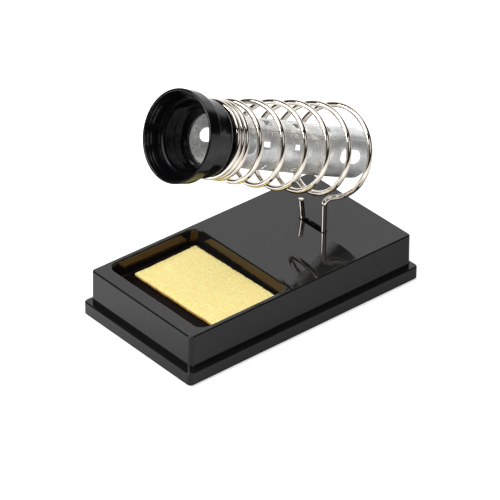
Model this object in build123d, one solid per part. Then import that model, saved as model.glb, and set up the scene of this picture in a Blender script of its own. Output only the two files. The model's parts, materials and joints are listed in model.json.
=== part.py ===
"""Soldering iron station: a weighted bench base with a sponge tray and a coiled wire holder for the iron.

Frame: +Z up, the base's long side along X with the sponge at -X and the coil's far end at +X, the long
front side facing -Y. The origin is on the bench, under the middle of the base. Millimetres.
"""

from build123d import *
import math
import os

os.makedirs("parts", exist_ok=True)

# ---- Base moulding ----
base_length = 157.0  # at the deck, along X
base_width = 84.8  # at the deck, along Y
base_height = 27.7  # from the skirt's lower edge to the deck
wall_draft = 0.9  # degrees that the walls lean outwards going down, so that the moulding leaves its mould
skirt_ledge = 3.05  # how far the skirt stands out from the walls all round
skirt_height = 7.6
box_corner = 2.3  # radius of the upright corners at the deck
skirt_corner = 2.6
top_round = 0.9  # radius along the deck's edge
skirt_round = 0.8
side_wall = 2.2
deck_wall = 2.6
cavity_corner = 1.2

# ---- Sponge tray, sunk into the deck ----
tray_length = 61.6
tray_depth = 11.3
tray_end_land = 9.1  # deck left between the tray and the base's end
tray_side_land = 3.3  # deck left between the tray and the base's long sides
tray_corner = 5.5
tray_floor_round = 2.0
tray_lip_round = 0.8
tray_shell = 2.0  # thickness of the tray's own walls and floor

# ---- Sponge ----
sponge_thickness = 2.5
sponge_inner_gap = 2.0  # to the tray's end nearest the coil
sponge_outer_gap = 15.6  # to the tray's far end
sponge_front_gap = 4.3
sponge_back_gap = 3.6
sponge_corner = 1.2
sponge_edge_round = 0.5
sponge_turn = 1.3  # degrees, as it happens to lie
lying_gap = 0.3  # under anything that lies loose

# ---- Underside: plate, ballast, screws and feet ----
foot_height = 1.5  # how far the feet lift the skirt off the bench
foot_radius = 6.0
foot_stem_radius = 2.9
foot_barb_radius = 3.7
foot_barb_height = 1.4
foot_barb_taper = 1.6  # how much narrower the barb is at its tip
foot_edge_round = 0.5
barb_end_gap = 2.6  # between a foot's barb and the end wall
barb_side_gap = 0.7  # between a foot's barb and the long wall
plate_thickness = 1.2
plate_corner = 2.0
skirt_rim = 2.6  # skirt left outside the plate
seat_gap = 0.1  # between the plate's edge and the skirt
boss_radius = 4.0
boss_side_gap = 2.0  # between a boss and the long wall
foot_head_gap = 1.24  # between a foot and the screw head beside it
thread_gap = 0.05  # round a screw in its hole
hole_gap = 0.25  # round a screw or stem in the plate
plate_screw_radius = 1.45
plate_screw_length = 7.5
ballast_gap = 2.4  # between the ballast and the moulding round it
ballast_head_gap = 3.6  # between the ballast and the socket above it
ballast_corner = 3.0
ballast_chamfer = 0.6
ballast_screw_radius = 2.0
ballast_screw_pitch = 36.0
screw_head_height = 1.1
screw_head_ratio = 1.9  # a head's radius over its shank's
screw_head_round = 0.55
screw_tip_chamfer = 0.5
cross_width = 0.8
cross_depth = 0.6

# ---- Socket in the deck for the holder's foot ----
slot_inset = 34.9  # from the base's end to the slot's middle
socket_depth = 13.0  # from the deck to the socket's floor
socket_wall = 2.2
slot_chamfer = 0.6
rib_thickness = 2.0
rib_height = 9.0

# ---- Wire holder: neck turns, open turns, leg, foot and free end ----
wire_diameter = 3.1
close_turns = 2.5  # tight turns that grip the mouth's neck
close_gap = 0.2  # between two tight turns
open_turns = 6.0  # the first of them opens the pitch
open_pitch = 16.57
coil_swell = 4.65  # how much wider the last turn's radius is than the neck turns'
swell_power = 1.5  # how early the turns widen
corners_per_turn = 12
run_out_corners = 2  # past the last turn, before the wire bends to the leg
arc_share = 0.46  # of each run, taken by the arc at its end
holder_tilt = 24.9  # degrees, the mouth raised
coil_end_height = 41.55  # last turn's middle above the deck
coil_end_reach = 16.95  # last turn's middle beyond the leg
leg_y = -9.15
free_end_y = 8.45
leg_bend_height = 21.3  # above the deck
bend_radius = 4.0
free_end_height = 12.1  # above the deck
free_end_lean = 9.0  # degrees
free_end_bend = 15.0
socket_gap = 0.05  # round the wire in the deck's socket

# ---- Mouth: moulded funnel screwed into the neck turns, from the neck out to the rim ----
neck_wall = 4.3  # round the guard tube
neck_chamfer = 0.5
neck_gap = 0.08  # between the neck and the wire
first_turn_gap = 0.4  # between the shoulder and the wire's first end
shoulder_step = 1.75  # shoulder's radius over the neck's
shoulder_swell = 1.05  # waist's radius over the shoulder's
shoulder_length = 3.5  # from the waist to the shoulder's face
shoulder_bulge = 0.35  # how round the shoulder is
body_swell = 1.2  # the body's widening from the waist to the rim band
body_length = 10.5  # from the rim band to the waist
rim_step = 2.2  # how far the rim band stands out from the body
rim_length = 8.3
rim_taper = 0.5  # the rim band's widening from its back edge to its front
rim_round = 0.6
lip_width = 1.4
throat_opening = 2.6  # throat's radius over the guard tube's
throat_setback = 0.3  # from the throat's floor to the shoulder's face
throat_lip = 1.5  # thickness of the lip that stops the guard tube
throat_swell = 2.2  # the inner cone's widening from the throat to its step
inner_step = 1.2
inner_step_station = 9.0  # from the rim to the inner step

# ---- Guard tube: rolled sheet inside the coil ----
tube_radius = 14.0
tube_wall = 0.5
tube_overhang = 12.2  # how far it reaches past the coil's last turn
tube_gap = 0.2  # round the tube in the mouth's bore
tube_droop = 0.5  # degrees that the tube's free end hangs below the coil's axis
seam_angle = 38.0  # degrees from the top towards the front
seam_gap = 0.4
end_slot_length = 16.2
end_slot_width = 7.9
end_slot_inset = 15.4  # slot's middle from the tube's end
end_slot_angle = 80.0
window_length = 5.2
window_width = 4.3
windows_per_row = 3
window_rows = 6
window_angle = 73.0
window_first_gap = 7.9  # from the front slot's end to the first window's middle
window_last_gap = 6.6  # from the last window's middle to the rear slot's end
window_stagger = 4.8  # every other row starts this much later

# ---- Places worked out from the sizes above ----
draft_slope = math.tan(math.radians(wall_draft))
ledge_spread = (base_height - skirt_height) * draft_slope  # how far the walls have leaned out at the skirt
foot_spread = base_height * draft_slope
skirt_length = base_length + 2 * (ledge_spread + skirt_ledge)
skirt_width = base_width + 2 * (ledge_spread + skirt_ledge)
skirt_z = foot_height
deck_z = foot_height + base_height
cavity_length = base_length - 2 * side_wall
cavity_width = base_width - 2 * side_wall
plate_top = skirt_z + plate_thickness
plate_length = skirt_length - 2 * skirt_rim
plate_width = skirt_width - 2 * skirt_rim
tray_width = base_width - 2 * tray_side_land
tray_floor_z = deck_z - tray_depth
tray_x = -base_length / 2 + tray_end_land + tray_length / 2
tray_inner_end = tray_x + tray_length / 2
foot_x = cavity_length / 2 - barb_end_gap - foot_barb_radius
foot_y = cavity_width / 2 - barb_side_gap - foot_barb_radius
boss_x = foot_x - foot_radius - foot_head_gap - screw_head_ratio * plate_screw_radius
boss_y = cavity_width / 2 - boss_side_gap - boss_radius
ballast_start = tray_inner_end + tray_shell + ballast_gap
ballast_end = cavity_length / 2 - ballast_gap
ballast_length = ballast_end - ballast_start
ballast_x = (ballast_start + ballast_end) / 2
ballast_width = 2 * (boss_y - boss_radius - ballast_gap)
wire_radius = wire_diameter / 2
slot_width = wire_diameter + 2 * socket_gap
slot_length = free_end_y - leg_y + slot_width
slot_x = base_length / 2 - slot_inset
slot_y = (leg_y + free_end_y) / 2
socket_floor_z = deck_z - socket_depth
ballast_height = socket_floor_z - socket_wall - ballast_head_gap - plate_top

# ---- Mouth's radii, and its stations measured from the rim ----
tube_bore = tube_radius + tube_gap
neck_radius = tube_bore + neck_wall
shoulder_radius = neck_radius + shoulder_step
waist_radius = shoulder_radius + shoulder_swell
body_radius = waist_radius + body_swell
rim_back_radius = body_radius + rim_step
rim_radius = rim_back_radius + rim_taper
lip_radius = rim_radius - lip_width
throat_radius = tube_radius + throat_opening
step_radius = throat_radius + throat_swell
inner_cone_radius = step_radius + inner_step
waist_station = rim_length + body_length
shoulder_station = waist_station + shoulder_length
throat_station = shoulder_station - throat_setback
lip_station = throat_station + throat_lip
tube_station = lip_station + lying_gap

# ---- Coil ----
close_pitch = wire_diameter + close_gap
neck_station = shoulder_station + first_turn_gap + close_turns * close_pitch
neck_turn_radius = neck_radius + neck_gap + wire_radius
end_coil_radius = neck_turn_radius + coil_swell
first_turn_station = shoulder_station + first_turn_gap + wire_radius
holder_turns = close_turns + open_turns

# ---- How a piece stands at its own zero, and how near counts as on ----
standing = (Align.CENTER, Align.CENTER, Align.MIN)
hanging = (Align.CENTER, Align.CENTER, Align.MAX)
nearness = 0.01

# ---- Holder axes: away from the mouth, square to it upwards, and towards the front ----
axis_along = Vector(math.cos(math.radians(holder_tilt)), 0, -math.sin(math.radians(holder_tilt)))
axis_up = Vector(math.sin(math.radians(holder_tilt)), 0, math.cos(math.radians(holder_tilt)))
axis_front = Vector(0, -1, 0)


def turn_station(turn):
    """Distance along the holder's axis: tight turns, one turn of opening pitch, then even open turns."""
    opening = min(max(turn - close_turns, 0), 1)
    open_part = max(turn - close_turns - 1, 0)
    opened = (open_pitch - close_pitch) * (opening**2 / 2 + open_part)
    return first_turn_station + close_pitch * turn + opened


def turn_radius(turn):
    """Radius of the wire's middle line, swelling from the neck towards the last turn."""
    share = min(max((turn - close_turns) / open_turns, 0), 1)
    return neck_turn_radius + (end_coil_radius - neck_turn_radius) * (1 - (1 - share) ** swell_power)


tube_length = turn_station(holder_turns) + tube_overhang - tube_station
coil_end = Vector(slot_x + coil_end_reach, 0, deck_z + coil_end_height)
mouth_centre = coil_end - axis_along * turn_station(holder_turns)
holder_plane = Plane(origin=mouth_centre, x_dir=axis_up, z_dir=axis_along)


def block(length, width, height, corner, draft=0):
    """Upright block with rounded corners, standing on Z 0, its walls leaning in by a draft in degrees."""
    return extrude(RectangleRounded(length, width, corner), height, taper=draft)


def at_corners(x, y, piece):
    """The same piece at the four corners of a rectangle round the origin."""
    return [Pos(side * x, end * y) * piece for side in (-1, 1) for end in (-1, 1)]


def make_outer_box():
    """Deck box with leaning walls, standing on its wider skirt, with the exposed edges rounded."""
    box = Pos(0, 0, skirt_z) * block(
        base_length + 2 * foot_spread,
        base_width + 2 * foot_spread,
        base_height,
        box_corner + foot_spread,
        wall_draft,
    )
    box = fillet(box.edges().group_by(Axis.Z)[-1], top_round)
    skirt = Pos(0, 0, skirt_z) * block(skirt_length, skirt_width, skirt_height, skirt_corner)
    skirt = fillet(skirt.edges().group_by(Axis.Z)[-1], skirt_round)
    return box + skirt


def make_tray_void():
    """Space of the sponge tray, rounded along its floor."""
    void = Pos(tray_x, 0, tray_floor_z) * block(
        tray_length, tray_width, tray_depth + deck_wall, tray_corner
    )
    return fillet(void.edges().group_by(Axis.Z)[0], tray_floor_round)


def make_slot(length, width, depth):
    """Upright space with round ends, sunk from the deck where the holder's foot goes."""
    outline = SlotOverall(length, width, rotation=90)
    return Pos(slot_x, slot_y, deck_z - depth) * extrude(outline, depth)


def make_base_shell():
    """Moulded base: hollow below, with the tray, the foot's socket, its ribs and the screw bosses."""
    cavity_height = base_height - deck_wall
    hollow = Pos(0, 0, skirt_z) * block(cavity_length, cavity_width, cavity_height, cavity_corner)
    tray_block = Pos(tray_x, 0, tray_floor_z - tray_shell) * Box(
        tray_length + 2 * tray_shell,
        base_width,
        tray_depth + tray_shell,
        align=standing,
    )
    boss_height = base_height - plate_thickness
    bosses = at_corners(boss_x, boss_y, Pos(0, 0, plate_top) * Cylinder(
        boss_radius, boss_height, align=standing
    ))
    socket = make_slot(
        slot_length + 2 * socket_wall, slot_width + 2 * socket_wall, socket_depth + socket_wall
    )
    rib = Pos(slot_x, 0, deck_z - deck_wall - rib_height) * Box(
        rib_thickness, base_width, rib_height, align=standing
    )
    shell = make_outer_box() - (hollow - [tray_block, socket, rib] - bosses)
    shell -= Pos(0, 0, skirt_z) * block(
        plate_length + 2 * seat_gap, plate_width + 2 * seat_gap, plate_thickness, plate_corner
    )
    shell -= make_tray_void()
    shell -= make_slot(slot_length, slot_width, socket_depth)
    pilot = Cylinder(plate_screw_radius + thread_gap, plate_screw_length + lying_gap, align=standing)
    shell -= at_corners(boss_x, boss_y, Pos(0, 0, plate_top) * pilot)
    shell = fillet([edge for edge in deck_edges(shell) if on_tray_lip(edge)], tray_lip_round)
    return chamfer([edge for edge in deck_edges(shell) if on_slot(edge)], slot_chamfer)


def deck_edges(shell):
    """Edges that lie on the deck's top face."""
    return shell.edges().filter_by_position(Axis.Z, deck_z - nearness, deck_z + nearness)


def on_tray_lip(edge):
    """True for an edge that lies on the tray's opening."""
    middle = edge.center()
    inside_x = abs(middle.X - tray_x) < tray_length / 2 + nearness
    return inside_x and abs(middle.Y) < tray_width / 2 + nearness


def on_slot(edge):
    """True for an edge that lies on the mouth of the foot's socket."""
    middle = edge.center()
    inside_x = abs(middle.X - slot_x) < slot_width / 2 + nearness
    return inside_x and abs(middle.Y - slot_y) < slot_length / 2 + nearness


def make_bottom_plate():
    """Sheet-steel plate that closes the base, drilled for the screws and the feet."""
    plate = Pos(0, 0, skirt_z) * block(plate_length, plate_width, plate_thickness, plate_corner)

    def hole(radius):
        """Clearance hole for a screw or a foot's stem."""
        return Pos(0, 0, skirt_z) * Cylinder(radius + hole_gap, plate_thickness, align=standing)

    plate -= at_corners(boss_x, boss_y, hole(plate_screw_radius))
    plate -= at_corners(foot_x, foot_y, hole(foot_stem_radius))
    plate -= [place * hole(ballast_screw_radius) for place in ballast_screw_places()]
    return plate


def ballast_screw_places():
    """The two ballast screws, in line under the ballast."""
    return [Pos(ballast_x + side * ballast_screw_pitch / 2, 0) for side in (-1, 1)]


def make_ballast():
    """Iron block on the plate, under the coil, with two tapped holes from below."""
    iron = Pos(ballast_x, 0, plate_top) * block(
        ballast_length, ballast_width, ballast_height, ballast_corner
    )
    tapped = Pos(0, 0, plate_top) * Cylinder(
        ballast_screw_radius + thread_gap, ballast_height, align=standing
    )
    iron -= [place * tapped for place in ballast_screw_places()]
    return chamfer(iron.edges().group_by(Axis.Z)[-1], ballast_chamfer)


def make_screw(radius, length):
    """Pan-head screw with a cross recess, its head under the plate and its shank upwards."""
    head = Pos(0, 0, skirt_z) * Cylinder(screw_head_ratio * radius, screw_head_height, align=hanging)
    head = fillet(head.edges().group_by(Axis.Z)[0], screw_head_round)
    shank = Pos(0, 0, skirt_z) * Cylinder(radius, plate_thickness + length, align=standing)
    shank = chamfer(shank.edges().group_by(Axis.Z)[-1], screw_tip_chamfer)
    slot = Box(2 * radius, cross_width, cross_depth, align=standing)
    head_bottom = skirt_z - screw_head_height
    return head + shank - [Pos(0, 0, head_bottom) * Rot(0, 0, turn) * slot for turn in (0, 90)]


def make_foot():
    """Push-in rubber foot: a disc on the bench, a stem through the plate and a barb above it."""
    disc = Cylinder(foot_radius, foot_height, align=standing)
    disc = fillet(disc.edges().group_by(Axis.Z)[0], foot_edge_round)
    stem = Cylinder(foot_stem_radius, plate_top, align=standing)
    barb = Pos(0, 0, plate_top) * Cone(
        foot_barb_radius, foot_barb_radius - foot_barb_taper, foot_barb_height, align=standing
    )
    return disc + stem + barb


def make_sponge():
    """Thin dry cellulose sponge, lying slightly turned in the tray."""
    length = tray_length - sponge_inner_gap - sponge_outer_gap
    width = tray_width - sponge_front_gap - sponge_back_gap
    middle_x = tray_inner_end - sponge_inner_gap - length / 2
    middle_y = (sponge_front_gap - sponge_back_gap) / 2
    pad = Rot(0, 0, sponge_turn) * block(length, width, sponge_thickness, sponge_corner)
    pad = fillet(pad.edges().group_by(Axis.Z)[-1], sponge_edge_round)
    return Pos(middle_x, middle_y, tray_floor_z + lying_gap) * pad


def holder_corners():
    """Corners of the wire's route: round the coil, out to the leg, through the foot, up to the free end."""
    outward = 1 / math.cos(math.pi / corners_per_turn)
    count = round(holder_turns * corners_per_turn) + run_out_corners
    corners = []
    for index in range(count + 1):
        turn = index / corners_per_turn
        # The last whole turn passes the front, so the wire starts this far round from the top.
        angle = 2 * math.pi * (turn - holder_turns + 0.25)
        radius = turn_radius(turn) * outward
        across = axis_up * math.cos(angle) + axis_front * math.sin(angle)
        corners.append(mouth_centre + axis_along * turn_station(turn) + across * radius)
    bend_z = deck_z + leg_bend_height
    foot_z = socket_floor_z + lying_gap + wire_radius
    lean_z = deck_z + wire_radius
    lean_height = free_end_height - wire_radius
    corners += [
        Vector(slot_x, leg_y, bend_z),
        Vector(slot_x, leg_y, foot_z),
        Vector(slot_x, free_end_y, foot_z),
        Vector(slot_x, free_end_y, lean_z),
        Vector(
            slot_x,
            free_end_y + lean_height * math.tan(math.radians(free_end_lean)),
            lean_z + lean_height,
        ),
    ]
    return corners


def bend_radii(corners):
    """Radius at each inner corner: as large as its runs allow, and tight at the leg and the foot."""
    radii = []
    for before, corner, after in zip(corners, corners[1:], corners[2:]):
        arriving = corner - before
        leaving = after - corner
        half_turn = math.radians(arriving.get_angle(leaving)) / 2
        shorter = min(arriving.length, leaving.length)
        radii.append(arc_share * shorter / math.tan(half_turn))
    leg_and_foot = [min(radius, bend_radius) for radius in radii[-4:-1]]
    return radii[:-4] + leg_and_foot + [min(radii[-1], free_end_bend)]


def make_holder_wire():
    """The whole holder out of one wire, swept along its route."""
    corners = holder_corners()
    route = Wire(FilletPolyline(*corners, radius=bend_radii(corners)).edges())
    section = Plane(origin=route @ 0, z_dir=route % 0) * Circle(wire_radius)
    wire = sweep(section, path=route)
    expected = math.pi * wire_radius**2 * route.length
    print("holder wire", round(route.length), "mm, volume over section x length", wire.volume / expected)
    return wire


def make_mouth_funnel():
    """Moulded mouth, turned about the holder's axis: rim band, body, shoulder, neck and stepped bore."""
    inner_tube = tube_radius - tube_wall
    with BuildSketch(Plane.XZ) as profile:
        with BuildLine():
            Polyline(
                (lip_radius, 0),
                (rim_radius, 0),
                (rim_back_radius, rim_length),
                (body_radius, rim_length),
                (waist_radius, waist_station),
            )
            ThreePointArc(
                (waist_radius, waist_station),
                (waist_radius - shoulder_swell / 2 + shoulder_bulge, waist_station + shoulder_length / 2),
                (shoulder_radius, shoulder_station),
            )
            Polyline(
                (shoulder_radius, shoulder_station),
                (neck_radius, shoulder_station),
                (neck_radius, neck_station - neck_chamfer),
                (neck_radius - neck_chamfer, neck_station),
                (tube_bore, neck_station),
                (tube_bore, lip_station),
                (inner_tube, lip_station),
                (inner_tube, throat_station),
                (throat_radius, throat_station),
                (step_radius, inner_step_station),
                (inner_cone_radius, inner_step_station),
                (lip_radius, 0),
            )
        make_face()
    turned = revolve(profile.sketch, Axis.Z)
    rim_edges = turned.edges().filter_by(GeomType.CIRCLE).filter_by(
        lambda edge: edge.radius > lip_radius - nearness
    )
    return holder_plane.location * fillet(rim_edges, rim_round)


def make_guard_tube():
    """Rolled sheet tube with an open seam, rows of punched windows and a long slot near each end."""
    tube = Cylinder(tube_radius, tube_length, align=standing)
    tube -= Cylinder(tube_radius - tube_wall, tube_length, align=standing)

    def radial(angle, station, outline):
        """Straight punch from the axis outwards, turned to an angle, at a distance from the front end."""
        punch = extrude(outline, 2 * tube_radius)
        return Pos(0, 0, station) * Rot(0, 0, angle) * Rot(0, 90, 0) * punch

    punches = [radial(seam_angle, tube_length / 2, Rectangle(2 * tube_length, seam_gap))]
    end_slot = SlotOverall(end_slot_length, end_slot_width)
    for station in (end_slot_inset, tube_length - end_slot_inset):
        for side in (0, 180):
            punches.append(radial(end_slot_angle + side, station, end_slot))
    window = Rectangle(window_length, window_width)
    slot_end = end_slot_inset + end_slot_length / 2
    window_start = slot_end + window_first_gap
    window_end = tube_length - slot_end - window_last_gap - window_stagger
    window_pitch = (window_end - window_start) / (windows_per_row - 1)
    for row in range(window_rows):
        angle = window_angle + 360 * row / window_rows
        start = window_start + (row % 2) * window_stagger
        for index in range(windows_per_row):
            punches.append(radial(angle, start + index * window_pitch, window))
    for punch in punches:
        tube -= punch
    return holder_plane.location * Pos(0, 0, tube_station) * Rot(0, -tube_droop, 0) * tube


def write(name, shape):
    """One STEP file per piece."""
    export_step(shape, f"parts/{name}.step")
    print(name, [round(value, 1) for value in shape.bounding_box().size])


def main():
    write("base_shell", make_base_shell())
    write("bottom_plate", make_bottom_plate())
    write("ballast_weight", make_ballast())
    plate_screw = make_screw(plate_screw_radius, plate_screw_length)
    ballast_screw = make_screw(ballast_screw_radius, ballast_height - lying_gap)
    write("plate_screws", Compound(children=at_corners(boss_x, boss_y, plate_screw)))
    write("ballast_screws", Compound(children=[place * ballast_screw for place in ballast_screw_places()]))
    for end, x in (("left", -foot_x), ("right", foot_x)):
        for side, y in (("front", -foot_y), ("rear", foot_y)):
            write(f"rubber_foot_{side}_{end}", Pos(x, y) * make_foot())
    write("sponge", make_sponge())
    write("holder_wire", make_holder_wire())
    write("mouth_funnel", make_mouth_funnel())
    write("guard_tube", make_guard_tube())


main()
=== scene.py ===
# %% [markdown]
# # A soldering iron station, dressed and lit
# The stand is a glossy moulded base with a sunk sponge tray, and a holder wound from one plated spring
# wire. The wire grips a black funnel, the mouth, and a guard tube of punched sheet runs down the coil.
# Its construction comes ready as a frame of solids in metres. This lesson gives every surface its finish,
# and makes anew the pieces whose looks a plain solid can't carry: the sponge, the wound wire and the
# rolled sheet tube.

import json
import math

import bmesh
import bpy
import numpy as np
from mathutils import Matrix, Vector, geometry


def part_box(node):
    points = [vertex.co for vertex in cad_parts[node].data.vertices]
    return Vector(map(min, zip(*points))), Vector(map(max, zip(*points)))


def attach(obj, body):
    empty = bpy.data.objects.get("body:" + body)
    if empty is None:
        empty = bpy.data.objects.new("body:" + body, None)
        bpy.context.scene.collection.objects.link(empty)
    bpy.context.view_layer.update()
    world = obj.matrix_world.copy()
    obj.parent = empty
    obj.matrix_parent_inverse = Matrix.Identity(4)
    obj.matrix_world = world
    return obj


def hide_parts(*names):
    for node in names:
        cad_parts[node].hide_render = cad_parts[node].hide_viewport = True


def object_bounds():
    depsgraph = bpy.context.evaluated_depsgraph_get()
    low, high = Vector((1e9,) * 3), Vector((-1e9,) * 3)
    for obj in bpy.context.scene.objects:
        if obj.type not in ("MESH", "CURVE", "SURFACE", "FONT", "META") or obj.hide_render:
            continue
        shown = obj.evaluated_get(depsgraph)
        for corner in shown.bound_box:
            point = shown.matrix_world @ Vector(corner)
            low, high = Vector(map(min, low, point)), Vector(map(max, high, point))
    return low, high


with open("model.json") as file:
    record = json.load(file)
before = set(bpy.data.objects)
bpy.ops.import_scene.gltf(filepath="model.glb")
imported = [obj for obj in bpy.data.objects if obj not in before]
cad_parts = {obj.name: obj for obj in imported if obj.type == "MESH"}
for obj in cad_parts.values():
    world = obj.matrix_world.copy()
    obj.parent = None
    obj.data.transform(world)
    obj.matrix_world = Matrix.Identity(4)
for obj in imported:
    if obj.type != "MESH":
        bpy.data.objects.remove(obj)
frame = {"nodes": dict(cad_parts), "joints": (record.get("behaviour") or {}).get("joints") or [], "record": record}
cad_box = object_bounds()

# %% [markdown]
# ## Camera
# A product like this is shown from far off through a long lens, so that its parallel edges stay
# almost parallel. A camera can be placed by its angles round the object: azimuth, elevation and roll give
# three square directions, and those are the columns of its matrix. That is exact, and easier to change
# than a location and three Euler angles.

# %% Camera directions and place
camera_azimuth, camera_elevation, camera_roll = np.radians([-40.563, 33.095, 0.444])
camera_distance = 1.872
camera_lens, camera_sensor = 245.55, 36.0
aim_right, aim_up = -0.001176, 0.024349
skirt_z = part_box("bottom_plate")[0].z


def camera_directions(azimuth, elevation, roll):
    """Right, up and back of a camera that looks down at the origin: back by two angles, then a roll."""
    flat = math.cos(elevation)
    back = Vector((math.sin(azimuth) * flat, -math.cos(azimuth) * flat, math.sin(elevation)))
    level = Vector((0, 0, 1)).cross(back).normalized()
    upright = back.cross(level)
    right = level * math.cos(roll) + upright * math.sin(roll)
    return right, back.cross(right), back


def placed_at(point, directions):
    """Matrix that puts a thing at a point, with its own X, Y and Z along the three directions."""
    return Matrix.Translation(point) @ Matrix(directions).transposed().to_4x4()


right, up, back = camera_directions(camera_azimuth, camera_elevation, camera_roll)
aim = right * aim_right + up * aim_up + Vector((0, 0, skirt_z))
camera = bpy.data.objects.new("camera", bpy.data.cameras.new("camera"))
bpy.context.collection.objects.link(camera)
camera.matrix_world = placed_at(aim + back * camera_distance, (right, up, back))
camera.data.lens, camera.data.sensor_width = camera_lens, camera_sensor
camera.data.clip_start, camera.data.clip_end = 0.1, 20.0
bpy.context.scene.camera = camera
bpy.context.scene.view_settings.view_transform = "Standard"
print("camera at", tuple(round(value, 3) for value in camera.matrix_world.translation))

# %% [markdown]
# ## Shader helpers
# Every finish below is a small graph of nodes, and so is the room. A few helpers keep those graphs readable:
# one makes a material whose plain numbers stand on the shader's own sockets, and others add a node together
# with its settings and what feeds it.

# %% Shader helpers


def add_node(owner, kind, inputs=(), **settings):
    """A new shader node: settings by keyword, and its sockets by a dict of values or other sockets."""
    made = owner.node_tree.nodes.new("ShaderNode" + kind)
    for name, value in settings.items():
        setattr(made, name, value)
    for name, value in dict(inputs).items():
        if isinstance(value, bpy.types.NodeSocket):
            owner.node_tree.links.new(value, made.inputs[name])
        else:
            made.inputs[name].default_value = value
    return made


def new_finish(name, colour, roughness, metallic=0.0):
    """A Principled material with its colour, roughness and metal share set on the shader's sockets."""
    finish = bpy.data.materials.new(name)
    finish.use_nodes = True
    shader = finish.node_tree.nodes["Principled BSDF"]
    shader.inputs["Base Color"].default_value = (*colour, 1.0)
    shader.inputs["Roughness"].default_value = roughness
    shader.inputs["Metallic"].default_value = metallic
    return finish, shader


def worked(owner, operation, *values):
    """One step of arithmetic on numbers or sockets, such as MULTIPLY or LESS_THAN."""
    return add_node(owner, "Math", dict(enumerate(values)), operation=operation).outputs[0]


def sum_of(owner, first, factor, second):
    """First times factor plus second, each a number or a socket."""
    return worked(owner, "MULTIPLY_ADD", first, factor, second)


def spread(owner, value, low, high, new_low, new_high, bend="LINEAR"):
    """Carries a value from one range to another, in a straight line or smoothly, and holds it at the ends."""
    ends = {"Value": value, "From Min": low, "From Max": high, "To Min": new_low, "To Max": new_high}
    return add_node(owner, "MapRange", ends, interpolation_type=bend).outputs["Result"]


def choose(owner, share, first, second):
    """The first number where the share is 0 and the second where it is 1."""
    return add_node(owner, "Mix", {"Factor": share, "A": first, "B": second}).outputs["Result"]


def along_direction(owner, place, direction):
    """How far a place or a direction of sight lies along a given direction."""
    sockets = {0: place, 1: tuple(direction)}
    return add_node(owner, "VectorMath", sockets, operation="DOT_PRODUCT").outputs["Value"]


def feed(finish, shader, **sources):
    """Links sockets to the shader's inputs, named with an underscore for each space."""
    for name, source in sources.items():
        finish.node_tree.links.new(source, shader.inputs[name.replace("_", " ")])


print("sockets are named as in Blender", bpy.app.version_string)

# %% [markdown]
# ## Studio
# Gloss shows its surroundings more than its own colour, so the room is part of the finish. Straight ahead
# stands a white backdrop, and the sides and the place behind the camera are dark, which gives chrome its
# black streaks. Light Path tells rays apart, so the background can be plain white, and mirror images can
# see this room, while matt surfaces get an even light.

# %% World
world = bpy.data.worlds.new("studio")
bpy.context.scene.world = world
world.use_nodes = True
ambient_strength = 0.40
dark_strength, white_strength = 0.02, 1.0
backdrop_sides = (0.62, 0.76)  # cosines from straight ahead between which the backdrop sets in
backdrop_top = (0.80, 0.93)  # sines of the heights between which it ends
ahead = Vector((-back.x, -back.y, 0.0)).normalized()

ray = add_node(world, "LightPath").outputs
sight = add_node(world, "TexCoord").outputs["Generated"]
height = add_node(world, "SeparateXYZ", {"Vector": sight}).outputs["Z"]
in_front = spread(world, along_direction(world, sight, ahead), *backdrop_sides, 0.0, 1.0, "SMOOTHSTEP")
below_top = spread(world, height, *backdrop_top, 1.0, 0.0, "SMOOTHSTEP")
on_backdrop = worked(world, "MULTIPLY", in_front, below_top)
mirrored_room = choose(world, on_backdrop, dark_strength, white_strength)
in_mirror = worked(world, "MAXIMUM", ray["Is Glossy Ray"], ray["Is Transmission Ray"])
room = choose(world, in_mirror, ambient_strength, mirrored_room)
background = world.node_tree.nodes["Background"]
background.inputs["Color"].default_value = (1.0, 1.0, 1.0, 1.0)
strength = choose(world, ray["Is Camera Ray"], room, white_strength)
world.node_tree.links.new(strength, background.inputs["Strength"])
print("world nodes:", len(world.node_tree.nodes))

# %% [markdown]
# The floor is a real surface, so that the stand keeps its shadow. A little light of its own lifts it to
# white for the camera. In a first mirror image its paper is bright on the side of the main lamp and grey
# beside and close in front of the stand, in its shade, which fades across the diagonal from the base's near
# corner. Far behind the stand it glows in mirrors, because studio paper rises there to be the backdrop.

# %% Floor
floor_half = 4.0
floor_camera_light = (0.62, 1.0)  # near the stand, and at the far reach of the lamps
lamps_reach = (0.3, 1.5)
paper, bright_paper, shaded_paper = 0.86, 0.90, 0.52
shade_edge = (0.000, 0.085)  # metres across the diagonal over which the paper turns from shaded to bright
shade_start, shade_reach = (-0.150, -0.110), (0.042, 0.090)  # metres in front of the base's front edge
shaded_bounces = (1.0, 2.0)  # the shade shows in the first mirror image and not in one within another
glow, glow_start = 0.50, (0.10, 0.45)  # metres behind the middle over which the mirrored paper lights up
near_corner = Vector((cad_box[0].x, cad_box[0].y, 0.0))
across_diagonal = Vector((-1.0, 1.0, 0.0)).normalized()
corner_offset = near_corner.dot(across_diagonal)

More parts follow.
